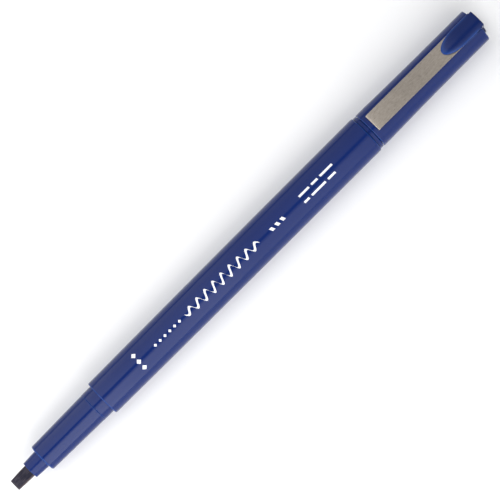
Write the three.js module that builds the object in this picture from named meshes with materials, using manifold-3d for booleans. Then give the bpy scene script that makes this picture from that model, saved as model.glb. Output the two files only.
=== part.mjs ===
// A calligraphy marker with a broad chisel nib and its cap posted on the back.
// Millimetres. The marker lies along X with its nib toward -X, its cap toward +X and the
// pocket clip straight up (+Z). The origin is under the middle of the marker, on the surface
// that it lies on.
//
// Every piece is drawn on the marker's own axis, by its station: the distance from the tip
// of the nib. The last lines move the whole marker to its place in the frame.

import * as THREE from 'three';
import { mergeVertices } from 'three/addons/utils/BufferGeometryUtils.js';
import Module from 'manifold-3d';

const wasm = await Module();
wasm.setup();

// ---- Driving dimensions ----------------------------------------------------------------

const sides = 32;             // flats around each turned piece
const fit = 0.05;             // gap between two pieces that are pushed together
const capClearance = 0.1;     // gap around the neck or the post inside the cap
const taperSteps = 9;         // rings along each curved taper

// lengths along the marker, from the nib to the cap
const nibReach = 5.25;        // nib in front of its holder
const collarLength = 4.75;    // holder in front of the front section
const seatLength = 18.95;     // front section in front of the barrel
const neckLength = 3;         // neck in front of the barrel's shoulder
const bodyLength = 97.35;     // barrel from its shoulder to its rear edge
const flangeLength = 0.85;    // flange of the tail plug
const capLength = 38.9;       // cap from its lip to its flat end
const crownThickness = 0.9;   // crown behind the cap's end

// nib
const nibTipWidth = 3.2;
const nibRootWidth = 3.55;
const nibThickness = 1.8;
const nibEdgeThickness = 0.7; // end face between the two bevels
const nibBevelLength = 2.4;
const nibTailWidth = 2.9;
const nibTailInReservoir = 8;
const nibTailPoint = 2;       // length of the pointed end of the tail

// nib holder
const slotWall = 0.39;        // from the corners of the nib's slot to the outside of the stem
const collarFrontStep = 0.06; // collar's front edge above the stem
const collarRearStep = 0.27;
const collarChamfer = 0.25;
const stemLength = 14;
const airGrooveWidth = 0.5;
const airGrooveDepth = 0.4;
const airGrooveAngles = [60, 90, 120, 240, 270, 300];

// front section
const seatFrontStep = 0.33;   // how much slimmer than the neck the section starts
const seatRearStep = 0.05;    // and ends
const seatEdgeRound = 0.35;
const ridgeLength = 0.3;      // proud ring at the joint with the barrel
const insertLength = 7;       // section inside the barrel
const insertWall = 0.8;

// barrel
const neckRadius = 4.4;
const neckWall = 0.75;
const shoulderStep = 0.87;    // barrel's shoulder stands this far above the neck
const barrelSwell = 0.33;     // barrel's rear is this much larger in radius than its shoulder
const barrelWall = 0.92;      // at the shoulder
const shoulderWall = 1.5;     // length of the wall behind the shoulder
const shoulderRound = 0.25;
const rearRound = 0.4;

// ink reservoir
const filmGap = 0.15;         // between the film and the barrel
const filmThickness = 0.12;
const reservoirGap = 0.5;     // between the reservoir and the pieces in front and behind

// tail plug
const plugLength = 10;        // plug inside the barrel
const plugWall = 0.95;
const postLength = 13.8;      // post inside the cap
const postRound = 0.8;
const flangeOverhang = 0.77;  // flange stands this far above the cap's bore

// cap
const capMouthWall = 0.9;
const capEndWall = 0.61;
const lipBand = 3.2;          // straight band behind the lip
const taperShare = 0.78;      // share of the remaining length that tapers
const lipChamfer = 0.25;
const capEndRound = 0.25;
const capEndThickness = 2.4;

// inner cap, the liner that seals around the nib
const linerClearance = 0.38;  // around the nib holder's collar, cap on the nib
const linerFloor = 0.8;
const sealGap = 0.1;          // liner's mouth to the front section, cap on the nib

// clip
const clipWidth = 5.1;
const clipThickness = 0.4;
const clipGap = 0.39;         // between the clip's root and the cap
const clipSetback = 1.3;      // free end behind the cap's lip
const clipRise = 0.45;        // how far the clip bows away from the cap
const clipStraight = 1;       // straight stretch in front of the tongue
const clipEndGap = 0.12;      // between the bent-down free end and the cap
const hookDepth = 0.9;        // hook below the cap's surface
const hookInset = 1;          // hook in front of the cap's end
const hookWidth = 4;          // narrower than the strip, so that the tongue hides its pocket
const hookBend = 0.4;         // bend radius at the middle of the strip
const pocketClearance = 0.4;  // around the hook, so that the clip can spring
const pocketSide = 0.2;       // beside the hook

// crown: stem, disc and the tongue over the clip's root
const discRadius = 3.17;
const crownStemRadius = 1.4;
const tongueWidth = 5.3;
const armWidth = 4.87;
const tongueLength = 12.9;
const tongueTipLength = 6.2;  // elliptical end of the tongue
const tongueRelief = 0.25;    // gap over the clip, so that it can spring
const tongueEdge = 0.5;       // thickness at the sides
const tongueCrown = 0.65;     // the middle stands this much above the sides
const tongueTipRise = 0.35;   // thickness at the very tip
const tongueEndRound = 0.3;

// ---- Places and sizes that follow from them ----------------------------------------------

const collarFront = nibReach;
const seatFront = collarFront + collarLength;
const neckFront = seatFront + seatLength;
const shoulder = neckFront + neckLength;
const barrelRear = shoulder + bodyLength;
const flangeRear = barrelRear + flangeLength;
const lip = flangeRear + fit;
const capEnd = lip + capLength;
const crownEnd = capEnd + crownThickness;

const stemEnd = seatFront + stemLength;
const insertEnd = neckFront + insertLength;
const reservoirFront = insertEnd + reservoirGap;
const plugFront = barrelRear - plugLength;
const reservoirRear = plugFront - reservoirGap;
const postEnd = flangeRear + postLength;

const slotWidth = nibRootWidth + 2 * fit;
const slotHeight = nibThickness + 2 * fit;
const stemRadius = Math.hypot(slotWidth / 2, slotHeight / 2) + slotWall;
const collarFrontRadius = stemRadius + collarFrontStep;
const collarRearRadius = stemRadius + collarRearStep;

const seatFrontRadius = neckRadius - seatFrontStep;
const neckBore = neckRadius - neckWall;
const insertRadius = neckBore - fit;
const shoulderRadius = neckRadius + shoulderStep;
const rearRadius = shoulderRadius + barrelSwell;
const barrelBore = shoulderRadius - barrelWall;
const plugRadius = barrelBore - fit;

const capBore = neckRadius + capClearance;
const capMouthRadius = capBore + capMouthWall;
const capEndRadius = capBore + capEndWall;
const postRadius = capBore - capClearance;

const filmRadius = barrelBore - filmGap;
const coreRadius = filmRadius - filmThickness - fit;

const linerMouth = lip + seatLength + neckLength + sealGap;
const linerEnd = capEnd - capEndThickness - fit;
const linerRadius = capBore - fit;
const linerBore = collarRearRadius + linerClearance;

const clipBottom = capEndRadius + clipGap;
const clipTop = clipBottom + clipThickness;
const clipFront = lip + clipSetback;
const hookStation = capEnd - hookInset;

const tongueTip = crownEnd - tongueLength;
const tongueBottom = clipTop + tongueRelief;
const tongueSide = tongueBottom + tongueEdge;
const tongueTop = tongueSide + tongueCrown;

// ---- Helpers ---------------------------------------------------------------------------

// A closed geometry as a solid that can be joined and cut.
function solid(geometry) {
  const bare = geometry.clone();
  bare.deleteAttribute('normal');
  bare.deleteAttribute('uv');
  const merged = mergeVertices(bare, 1e-4);
  const index = merged.index.array;
  const triangles = [];
  for (let i = 0; i < index.length; i += 3) {
    const [a, b, c] = [index[i], index[i + 1], index[i + 2]];
    if (a !== b && b !== c && c !== a) {
      triangles.push(a, b, c);
    }
  }
  return new wasm.Manifold(new wasm.Mesh({
    numProp: 3,
    vertProperties: new Float32Array(merged.attributes.position.array),
    triVerts: new Uint32Array(triangles),
  }));
}

// A named piece of the marker from its solid.
function piece(name, shape, material) {
  const { vertProperties, triVerts } = shape.getMesh();
  const geometry = new THREE.BufferGeometry();
  geometry.setAttribute('position', new THREE.BufferAttribute(vertProperties, 3));
  geometry.setIndex(new THREE.BufferAttribute(triVerts, 1));
  geometry.computeVertexNormals();
  const mesh = new THREE.Mesh(geometry, material);
  mesh.name = name;
  return mesh;
}

// A solid turned about the X axis, with one flat facing straight down. The outline is a list
// of [station, radius] that runs back along the outside and forward along the inside. It
// starts and ends on the axis or closes on itself.
function turned(outline) {
  const points = outline.map(([station, radius]) => new THREE.Vector2(radius, station));
  const onAxis = points[0].x === 0 && points.at(-1).x === 0;
  if (!onAxis) {
    points.push(points[0].clone());
  }
  const geometry = new THREE.LatheGeometry(points, sides);
  geometry.rotateY(Math.PI / sides);
  geometry.rotateZ(-Math.PI / 2);
  return solid(geometry);
}

// A box between two stations, centred on the axis in Y.
function block(from, to, width, bottom, top) {
  const geometry = new THREE.BoxGeometry(to - from, width, top - bottom);
  geometry.translate((from + to) / 2, 0, (bottom + top) / 2);
  return solid(geometry);
}

// A solid with an outline seen from the side, as [station, height], and a width along Y.
function sideCut(outline, width) {
  const shape = new THREE.Shape(outline.map(([station, height]) => new THREE.Vector2(station, height)));
  const geometry = new THREE.ExtrudeGeometry(shape, { depth: width, bevelEnabled: false });
  geometry.rotateX(Math.PI / 2);
  geometry.translate(0, width / 2, 0);
  return solid(geometry);
}

// A solid with an outline seen from above, as [station, y], between two heights.
function topCut(outline, bottom, top) {
  const shape = new THREE.Shape(outline.map(([station, y]) => new THREE.Vector2(station, y)));
  const geometry = new THREE.ExtrudeGeometry(shape, { depth: top - bottom, bevelEnabled: false });
  geometry.translate(0, 0, bottom);
  return solid(geometry);
}

// A solid with an outline seen along the marker, as [y, height], between two stations.
function acrossCut(outline, from, to) {
  const shape = new THREE.Shape(outline.map(([y, height]) => new THREE.Vector2(y, height)));
  const geometry = new THREE.ExtrudeGeometry(shape, { depth: to - from, bevelEnabled: false });
  geometry.rotateX(Math.PI / 2);
  geometry.rotateZ(Math.PI / 2);
  geometry.translate(from, 0, 0);
  return solid(geometry);
}

// Points on an elliptical arc about a centre, from one angle to another in degrees.
function arc([centreU, centreV], [sizeU, sizeV], from, to, steps = 3) {
  return Array.from({ length: steps + 1 }, (_, i) => {
    const angle = THREE.MathUtils.degToRad(from + (to - from) * i / steps);
    return [centreU + sizeU * Math.cos(angle), centreV + sizeV * Math.sin(angle)];
  });
}

// Points along a curved taper: radiusAt takes 0 to 1 along it.
function taper(from, to, radiusAt) {
  return Array.from({ length: taperSteps + 1 }, (_, i) => {
    const share = i / taperSteps;
    return [from + (to - from) * share, radiusAt(share)];
  });
}

// ---- Materials -------------------------------------------------------------------------

function material(color, roughness, metalness = 0) {
  return new THREE.MeshStandardMaterial({ color, roughness, metalness });
}

const bluePlastic = () => material(0x1c3478, 0.3);
const brightBluePlastic = () => material(0x1a3f9a, 0.25);
const inkedFibre = () => material(0x4a4048, 0.9);
const wetFibre = () => material(0x141a46, 0.95);
const clearFilm = () => material(0xd9dde6, 0.2);
const whitePlastic = () => material(0xe8e8e4, 0.45);
const brushedSteel = () => material(0x9c9286, 0.35, 1);

// ---- Writing end -----------------------------------------------------------------------

// Pressed fibre chisel: bevelled on both broad faces, with a slim tail into the reservoir.
function nib() {
  const tailEnd = reservoirFront + nibTailInReservoir;
  const seatEnd = stemEnd;
  const halfOutline = [
    [0, nibTipWidth / 2],
    [collarFront, nibRootWidth / 2],
    [seatEnd, nibRootWidth / 2],
    [seatEnd + nibTailPoint, nibTailWidth / 2],
    [tailEnd, nibTailWidth / 2],
  ];
  const mirrored = halfOutline.map(([station, y]) => [station, -y]);
  const outline = [...mirrored, ...halfOutline.reverse()];
  const half = nibThickness / 2;
  const edge = nibEdgeThickness / 2;
  const side = [
    [0, -edge],
    [nibBevelLength, -half],
    [tailEnd - nibTailPoint, -half],
    [tailEnd, -edge],
    [tailEnd, edge],
    [tailEnd - nibTailPoint, half],
    [nibBevelLength, half],
    [0, edge],
  ];
  const fromAbove = topCut(outline, -nibThickness, nibThickness);
  const fromSide = sideCut(side, 2 * nibRootWidth);
  return piece('nib', fromAbove.intersect(fromSide), inkedFibre());
}

// Collar that shows around the nib and a grooved stem that lets air past into the barrel.
function nibHolder() {
  const rear = seatFront - fit;
  let shape = turned([
    [collarFront, 0],
    [collarFront, collarFrontRadius - collarChamfer],
    [collarFront + collarChamfer, collarFrontRadius],
    [rear, collarRearRadius],
    [rear, stemRadius],
    [stemEnd, stemRadius],
    [stemEnd, 0],
  ]);
  shape = shape.subtract(block(collarFront - 1, stemEnd + 1, slotWidth, -slotHeight / 2, slotHeight / 2));
  for (const angle of airGrooveAngles) {
    const groove = new THREE.BoxGeometry(stemLength + 2, airGrooveWidth, 2 * airGrooveDepth);
    groove.translate(seatFront + stemLength / 2 + 1, 0, stemRadius);
    groove.rotateX(THREE.MathUtils.degToRad(angle - 90));
    shape = shape.subtract(solid(groove));
  }
  return piece('nib_holder', shape, bluePlastic());
}

// Slightly tapered grip that the cap closes over, with an insert inside the barrel's neck.
function frontSection() {
  const round = seatEdgeRound;
  const stemBore = stemRadius + fit;
  const wideBore = insertRadius - insertWall;
  const rear = neckFront - fit;
  const ridgeFront = rear - ridgeLength;
  const shape = turned([
    [seatFront, stemBore],
    ...arc([seatFront + round, seatFrontRadius - round], [round, round], 180, 90),
    [ridgeFront, neckRadius - seatRearStep],
    [ridgeFront, neckRadius],
    [rear, neckRadius],
    [rear, insertRadius],
    [insertEnd, insertRadius],
    [insertEnd, wideBore],
    [stemEnd + fit, wideBore],
    [stemEnd + fit, stemBore],
  ]);
  return piece('front_section', shape, bluePlastic());
}

// ---- Barrel and what is inside it ------------------------------------------------------

function barrel() {
  const front = shoulder + shoulderRound;
  const rear = barrelRear - rearRound;
  const shape = turned([
    [neckFront, neckBore],
    [neckFront, neckRadius],
    [shoulder, neckRadius],
    ...arc([front, shoulderRadius - shoulderRound], [shoulderRound, shoulderRound], 180, 90, 2),
    ...taper(front, rear, (share) => shoulderRadius + barrelSwell * share * (2 - share)).slice(1, -1),
    ...arc([rear, rearRadius - rearRound], [rearRound, rearRound], 90, 0),
    [barrelRear, barrelBore],
    [shoulder + shoulderWall, barrelBore],
    [shoulder + shoulderWall, neckBore],
  ]);
  return piece('barrel', shape, bluePlastic());
}

// Bundle of fibres that holds the ink, with the hole that the nib's tail is pushed into.
function reservoirCore() {
  const tailEnd = reservoirFront + nibTailInReservoir;
  const bundle = turned([
    [reservoirFront, 0],
    [reservoirFront, coreRadius],
    [reservoirRear, coreRadius],
    [reservoirRear, 0],
  ]);
  const holeWidth = nibTailWidth + 2 * fit;
  const hole = block(reservoirFront - 1, tailEnd + fit, holeWidth, -slotHeight / 2, slotHeight / 2);
  return piece('reservoir_core', bundle.subtract(hole), wetFibre());
}

function reservoirFilm() {
  const shape = turned([
    [reservoirFront, filmRadius - filmThickness],
    [reservoirFront, filmRadius],
    [reservoirRear, filmRadius],
    [reservoirRear, filmRadius - filmThickness],
  ]);
  return piece('reservoir_film', shape, clearFilm());
}

// Hollow plug that closes the barrel, with a flange and the post that the cap is pushed on.
function tailPlug() {
  const front = barrelRear + fit;
  const floor = postEnd - plugWall;
  const hollow = plugRadius - plugWall;
  const shape = turned([
    [floor, 0],
    [floor, hollow],
    [plugFront, hollow],
    [plugFront, plugRadius],
    [front, plugRadius],
    [front, capBore + flangeOverhang],
    [flangeRear, capBore + flangeOverhang],
    [flangeRear, postRadius],
    ...arc([postEnd - postRound, postRadius - postRound], [postRound, postRound], 90, 0),
    [postEnd, 0],
  ]);
  return piece('tail_plug', shape, bluePlastic());
}

// ---- Cap -------------------------------------------------------------------------------

// Radius of the cap's outside along its taper, where share runs from 0 to 1.
function capTaperRadius(share) {
  return capEndRadius + (capMouthRadius - capEndRadius) * (1 - share) ** 2;
}

function capShell() {
  const taperFront = lip + lipBand;
  const taperRear = taperFront + (capEnd - taperFront) * taperShare;
  const stemHole = crownStemRadius + fit;
  const inside = capEnd - capEndThickness;
  let shape = turned([
    [lip, capBore + lipChamfer],
    ...arc([lip + lipChamfer, capMouthRadius - lipChamfer], [lipChamfer, lipChamfer], 180, 90, 2),
    ...taper(taperFront, taperRear, capTaperRadius),
    ...arc([capEnd - capEndRound, capEndRadius - capEndRound], [capEndRound, capEndRound], 90, 0, 2),
    [capEnd, stemHole],
    [inside, stemHole],
    [inside, capBore],
    [lip + lipChamfer, capBore],
  ]);
  const pocketHalf = clipThickness / 2 + pocketClearance;
  const pocketFloor = capEndRadius - hookDepth - pocketClearance;
  const pocket = block(hookStation - pocketHalf, hookStation + pocketHalf,
    hookWidth + 2 * pocketSide, pocketFloor, clipTop);
  shape = shape.subtract(pocket);
  return piece('cap_shell', shape, bluePlastic());
}

// Soft cup at the bottom of the cap that closes around the nib and keeps it wet.
function innerCap() {
  const floor = linerEnd - linerFloor;
  const shape = turned([
    [floor, 0],
    [floor, linerBore],
    [linerMouth, linerBore],
    [linerMouth, linerRadius - lipChamfer],
    [linerMouth + lipChamfer, linerRadius],
    [linerEnd, linerRadius],
    [linerEnd, 0],
  ]);
  return piece('inner_cap', shape, whitePlastic());
}

// Disc on the cap's end, its stem through the cap and the tongue that holds the clip down.
function crown() {
  const front = capEnd + fit;
  const disc = turned([
    [capEnd - capEndThickness, 0],
    [capEnd - capEndThickness, crownStemRadius],
    [front, crownStemRadius],
    [front, discRadius],
    [crownEnd, discRadius],
    [crownEnd, 0],
  ]);
  const arm = block(front, crownEnd, armWidth, 0, tongueSide);

  // The tongue is where three outlines meet: from above, along its length and across it.
  const half = tongueWidth / 2;
  const tipCentre = tongueTip + tongueTipLength;
  const fromAbove = topCut([
    ...arc([tipCentre, 0], [tongueTipLength, half], 90, 270, 16),
    [front, -half],
    [front, -armWidth / 2],
    [crownEnd, -armWidth / 2],
    [crownEnd, armWidth / 2],
    [front, armWidth / 2],
    [front, half],
  ], tongueBottom, tongueTop);
  const tipTop = tongueBottom + tongueTipRise;
  const end = tongueEndRound;
  const lengthwise = sideCut([
    [tongueTip, tongueBottom],
    [crownEnd, tongueBottom],
    ...arc([crownEnd - end, tongueTop - end], [end, end], 0, 90),
    ...arc([tipCentre, tipTop], [tongueTipLength, tongueTop - tipTop], 90, 180, 8),
  ], tongueWidth);
  const archRadius = (half ** 2 + tongueCrown ** 2) / (2 * tongueCrown);
  const archStart = THREE.MathUtils.radToDeg(Math.acos(half / archRadius));
  const across = acrossCut([
    [-half, tongueBottom],
    [half, tongueBottom],
    ...arc([0, tongueTop - archRadius], [archRadius, archRadius], archStart, 180 - archStart, 16),
  ], tongueTip, crownEnd);
  const tongue = fromAbove.intersect(lengthwise).intersect(across);
  return piece('crown', disc.add(arm).add(tongue), brightBluePlastic());
}

// Spring strip: hooked into the cap at its root, bowed, and bent down at its free end.
function clip() {
  const half = clipThickness / 2;
  const middle = clipBottom + half;
  const crest = middle + clipRise;
  const freeEnd = capMouthRadius + clipEndGap;
  const bend = crest - freeEnd;
  const bowFront = clipFront + half + bend;
  const bowRear = tongueTip - clipStraight;
  const handle = (bowRear - bowFront) / 3;
  const spine = new THREE.Path();
  spine.moveTo(clipFront + half, freeEnd);
  spine.absarc(bowFront, freeEnd, bend, Math.PI, Math.PI / 2, true);
  spine.bezierCurveTo(bowFront + handle, crest, bowRear - handle, middle, bowRear, middle);
  spine.lineTo(hookStation - hookBend, middle);
  spine.absarc(hookStation - hookBend, middle - hookBend, hookBend, Math.PI / 2, 0, true);
  spine.lineTo(hookStation, capEndRadius - hookDepth);
  const points = spine.getPoints(8);
  const normals = points.map((point, i) => {
    const before = points[Math.max(i - 1, 0)];
    const after = points[Math.min(i + 1, points.length - 1)];
    return new THREE.Vector2(before.y - after.y, after.x - before.x).normalize();
  });
  const face = (offset) => points.map((point, i) => {
    return point.clone().addScaledVector(normals[i], offset).toArray();
  });
  const outline = [...face(-half), ...face(half).reverse()];
  const underStrip = block(bowRear, capEnd, 2 * clipWidth, 0, clipBottom);
  const shape = sideCut(outline, clipWidth).subtract(underStrip).add(sideCut(outline, hookWidth));
  return piece('clip', shape, brushedSteel());
}

// ---- The whole marker ------------------------------------------------------------------

const writingEnd = new THREE.Group();
writingEnd.add(nib(), nibHolder(), frontSection());

const body = new THREE.Group();
body.add(barrel(), reservoirCore(), reservoirFilm(), tailPlug());

const cap = new THREE.Group();
cap.add(capShell(), innerCap(), clip(), crown());

const marker = new THREE.Group();
marker.add(writingEnd, body, cap);
marker.position.set(-crownEnd / 2, 0, rearRadius * Math.cos(Math.PI / sides));

export default marker;
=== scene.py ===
# %% [markdown]
# # A calligraphy marker, piece by piece
#
# This lesson dresses a finished design. Here each piece gets the surface that the eye
# expects: soft moulded edges, brushed steel, pressed fibre and white printed marks.
# Nothing is moved, and every place below is measured from the frame.

# %% Load the frame
import math

import bpy
import numpy as np
from mathutils import Matrix, Vector


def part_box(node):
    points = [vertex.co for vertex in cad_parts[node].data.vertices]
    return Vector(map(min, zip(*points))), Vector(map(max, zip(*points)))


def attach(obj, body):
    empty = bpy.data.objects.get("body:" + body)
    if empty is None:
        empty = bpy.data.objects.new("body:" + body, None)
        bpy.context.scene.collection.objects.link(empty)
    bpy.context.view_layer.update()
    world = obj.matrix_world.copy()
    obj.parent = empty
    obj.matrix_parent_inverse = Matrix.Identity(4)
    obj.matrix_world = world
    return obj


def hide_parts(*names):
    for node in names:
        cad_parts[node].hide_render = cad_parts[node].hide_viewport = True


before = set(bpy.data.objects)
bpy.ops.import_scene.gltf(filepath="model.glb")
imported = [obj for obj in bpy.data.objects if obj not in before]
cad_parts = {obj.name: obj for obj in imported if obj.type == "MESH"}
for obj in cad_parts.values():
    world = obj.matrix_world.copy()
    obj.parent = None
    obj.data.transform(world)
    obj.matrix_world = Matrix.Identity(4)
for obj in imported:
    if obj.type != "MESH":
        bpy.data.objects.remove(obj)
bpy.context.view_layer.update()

# %% [markdown]
# ## Where everything is
#
# The marker lies along X with its nib toward -X and its clip straight up. A place on it is
# easiest to say as a *station*, the distance behind the tip of the nib, with a radius from
# the axis. The CAD boxes give almost all of these. The CAD pieces are turned with 32 flats,
# so a box is a touch narrower than the true round piece, by the cosine of half a flat.
#
# On the real marker the collar is a trifle shorter at its front than in the plain model, and
# the barrel at its rear. Both cuts are made here, and the pieces next to them follow.

# %% Measure the frame
MM = 0.001
FLATS = 32
FLAT_SHARE = math.cos(math.pi / FLATS)

TIP_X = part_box("nib")[0].x
AXIS_HEIGHT = (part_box("barrel")[0].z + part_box("barrel")[1].z) / 2


def station_span(node):
    """First and last station of a CAD node, in mm behind the tip of the nib."""
    low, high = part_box(node)
    return (low.x - TIP_X) / MM, (high.x - TIP_X) / MM


def round_radius(node):
    """Largest radius of a turned CAD node, in mm, from the width between its flats."""
    low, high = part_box(node)
    return (high.y - low.y) / 2 / MM / FLAT_SHARE


def top_height(node):
    """Highest point of a CAD node above the marker's axis, in mm."""
    return (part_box(node)[1].z - AXIS_HEIGHT) / MM


def half_width(node):
    """Half of a CAD node's size along Y, in mm."""
    low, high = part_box(node)
    return (high.y - low.y) / 2 / MM


COLLAR_FRONT, STEM_END = station_span("nib_holder")
SEAT_FRONT, INSERT_END = station_span("front_section")
NECK_FRONT, BARREL_REAR = station_span("barrel")
PLUG_FRONT, POST_END = station_span("tail_plug")
LIP, CAP_END = station_span("cap_shell")
LINER_MOUTH, LINER_END = station_span("inner_cap")
TONGUE_TIP, CROWN_END = station_span("crown")
CLIP_FRONT, CLIP_REAR = station_span("clip")
NIB_TAIL_END = station_span("nib")[1]
NIB_ROOT_WIDTH = 2 * half_width("nib")
COLLAR_CUT = 0.35
BARREL_CUT = 0.25
COLLAR_FRONT += COLLAR_CUT
BARREL_REAR -= BARREL_CUT
for title, station in (("collar", COLLAR_FRONT), ("seat", SEAT_FRONT), ("neck", NECK_FRONT),
                       ("barrel's rear", BARREL_REAR), ("cap's end", CAP_END)):
    print(f"{title:14s} {station:7.2f} mm")

# %% [markdown]
# ## A surface from a grid of points
#
# A mesh can be made with bmesh operators, with modifiers, or straight from arrays. Turned
# and swept pieces are all *functions of two parameters*, so the third way is the shortest:
# work out a grid of points as one numpy array, and join neighbours. Points that coincide,
# at a pole or along a seam, are welded, which closes the surface, and the sign of the
# enclosed volume says whether the faces have to be turned to point outwards. Each mesh also
# stores how tightly it bends at every point, which lets a finish paint a brighter highlight
# on its edges.

# %% Grid to mesh
def weld(points, faces):
    """Give points at the same place one number, and drop the triangles that collapse."""
    _, first, number = np.unique(np.round(points, 8), axis=0, return_index=True, return_inverse=True)
    faces = number.reshape(-1)[faces]
    a, b, c = faces.T
    return points[first], faces[(a != b) & (b != c) & (c != a)]


def grid_faces(rows, columns, close_rows):
    """Two triangles for each cell of a grid whose rows, and perhaps columns, are rings."""
    number = np.arange(rows * columns).reshape(rows, columns)
    if close_rows:
        number = np.vstack([number, number[:1]])
    number = np.hstack([number, number[:, :1]])
    a, b = number[:-1, :-1].ravel(), number[:-1, 1:].ravel()
    c, d = number[1:, 1:].ravel(), number[1:, :-1].ravel()
    return np.vstack([np.stack([a, b, c], 1), np.stack([a, c, d], 1)])


def grid_surface(points, close_rows=False):
    """Points and outward triangles of a grid [row, column, xyz]."""
    faces = grid_faces(*points.shape[:2], close_rows)
    points, faces = weld(points.reshape(-1, 3), faces)
    a, b, c = points[faces.T]
    volume = np.einsum("ij,ij->i", a, np.cross(b, c)).sum() / 6
    return points, faces if volume > 0 else faces[:, ::-1]


def capped(rings):
    """A tube of rings [ring, column, xyz], closed at each end by a point in its middle."""
    first, last = (np.broadcast_to(ring.mean(0), ring.shape)[None] for ring in (rings[0], rings[-1]))
    return grid_surface(np.concatenate([first, rings, last]))


def edge_bend(points, faces):
    """How tightly the surface bends outward at each point, in 1/mm and at least 0.

    Across a triangle edge the surface turns by the angle between the two normals, over a
    distance of a third of both triangles' heights. A point takes the tightest of its edges.
    """
    sides = np.vstack([faces[:, [0, 1]], faces[:, [1, 2]], faces[:, [2, 0]]])
    owner = np.tile(np.arange(len(faces)), 3)
    sides = np.sort(sides, axis=1)
    order = np.lexsort(sides.T)
    sides, owner = sides[order], owner[order]
    shared = np.all(sides[1:] == sides[:-1], axis=1)
    side, one, other = sides[1:][shared], owner[:-1][shared], owner[1:][shared]
    corners = points[faces]
    normals = np.cross(corners[:, 1] - corners[:, 0], corners[:, 2] - corners[:, 0])
    double_area = np.linalg.norm(normals, axis=1)
    normals /= double_area[:, None]
    length = np.linalg.norm(points[side[:, 0]] - points[side[:, 1]], axis=1)
    distance = (double_area[one] + double_area[other]) / length / 3
    turn = np.arccos(np.clip(np.einsum("ij,ij->i", normals[one], normals[other]), -1, 1))
    middles = corners.mean(axis=1)
    outward = np.einsum("ij,ij->i", normals[one], middles[other] - middles[one]) < 0
    bend = np.where(outward, turn / distance * MM, 0)
    tightest = np.zeros(len(points))
    np.maximum.at(tightest, side.ravel(), np.repeat(bend, 2))
    return tightest


def make_object(name, surfaces, sharp):
    """One object from one or more (points, triangles) surfaces, in metres in the frame."""
    counts = np.cumsum([0] + [len(points) for points, _ in surfaces])
    points = np.vstack([points for points, _ in surfaces])
    faces = np.vstack([faces + start for (_, faces), start in zip(surfaces, counts)])
    mesh = bpy.data.meshes.new(name)
    mesh.from_pydata(points, [], faces.tolist())
    mesh.shade_smooth()
    mesh.set_sharp_from_angle(angle=math.radians(sharp))
    stored_bend = mesh.attributes.new("edge_bend", "FLOAT", "POINT")
    stored_bend.data.foreach_set("value", edge_bend(points, faces))
    piece = bpy.data.objects.new(name, mesh)
    bpy.context.scene.collection.objects.link(piece)
    print(f"{name}: {len(faces)} triangles")
    return piece


# %% [markdown]
# ## Outlines with soft corners
#
# Nothing that comes out of a mould has a perfectly sharp edge, and the thin bright line on
# an edge is what makes a piece look real. A Bevel modifier could add it later, but the size
# of each round is part of the design, so it is written beside each corner of the outline as
# (station, radius, round). `soften` swaps the corner for an arc that touches both sides,
# with one extra point beyond each end of the arc to keep the flats flat when shaded smooth.

# %% Soften the corners of an outline
def soften(outline, closed=False, steps=5):
    """Replace each corner that states a round by an arc tangent to its two sides.

    The arc's centre is on the corner's bisector, at round / sin(half the angle) from the
    corner, and its points are the spherical blend of its two end directions.
    """
    corners = np.array([corner[:2] for corner in outline], float)
    rounds = [corner[2] if len(corner) > 2 else 0.0 for corner in outline]
    last = len(outline) - 1
    pieces = []
    for i, (corner, size) in enumerate(zip(corners, rounds)):
        if size == 0 or (not closed and i in (0, last)):
            pieces.append(corner[None])
            continue
        back = corners[i - 1] - corner
        ahead = corners[(i + 1) % len(corners)] - corner
        reach = min(np.linalg.norm(back), np.linalg.norm(ahead))
        back, ahead = back / np.linalg.norm(back), ahead / np.linalg.norm(ahead)
        half = math.acos(np.clip(back @ ahead, -1, 1)) / 2
        size = min(size, 0.45 * reach * math.tan(half))
        tangent = size / math.tan(half)
        centre = corner + (back + ahead) / np.linalg.norm(back + ahead) * size / math.sin(half)
        start, end = corner + back * tangent - centre, corner + ahead * tangent - centre
        sweep = math.pi - 2 * half
        share = np.linspace(0, 1, steps + 1)[:, None]
        arc = (np.sin((1 - share) * sweep) * start + np.sin(share * sweep) * end) / math.sin(sweep)
        spare = min(0.6 * size, 0.4 * (reach - tangent))
        pieces += [(corner + back * (tangent + spare))[None], centre + arc,
                   (corner + ahead * (tangent + spare))[None]]
    return np.vstack(pieces)


def curve(function, start, end, count):
    """Corners along a smooth stretch: (station, function(share)) with share from 0 to 1."""
    share = np.linspace(0, 1, count)
    return list(zip(start + (end - start) * share, function(share)))


# %% [markdown]
# ## Turned pieces
#
# Most of the marker is round: the barrel, the cap, the plug and the liner all come out of
# round moulds. Blender's Spin or Screw would turn an outline, but here the ring is also
# bent a little in places (ribs, a pocket, a slot), so the radius is left as a function of
# the station and the angle.

# %% Turn an outline
def in_frame(station, side, height):
    """A point at a station, a distance toward +Y and a height over the axis, in metres."""
    place = np.broadcast_arrays(TIP_X + station * MM, side * MM, AXIS_HEIGHT + height * MM)
    return np.stack(place, axis=-1)


def on_axis(station, radius, angle):
    """A point at a station, a radius from the axis and an angle from straight up, in metres."""
    return in_frame(station, radius * np.sin(angle), radius * np.cos(angle))


def full_turn(count):
    """A row of angles that go once round, without the last one, which is the first again."""
    return np.linspace(0, 2 * math.pi, count, endpoint=False)[None, :]


def turned(outline, closed=True, around=128, shape=None):
    """Carry an outline of [station, radius] round the axis.

    shape(station, radius, angle) may change the radius, for what isn't quite round.
    """
    angle = full_turn(around)
    station, radius = outline[:, :1], outline[:, 1:2]
    if shape is not None:
        radius = shape(station, radius, angle)
    return grid_surface(on_axis(station, radius, angle), close_rows=closed)


# %% [markdown]
# ## Shader maths in plain Python
#
# A material is a small program. Wiring it by hand hides the idea, so one class wraps a
# socket and lets it take part in ordinary sums, and one method makes any other node.

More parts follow.
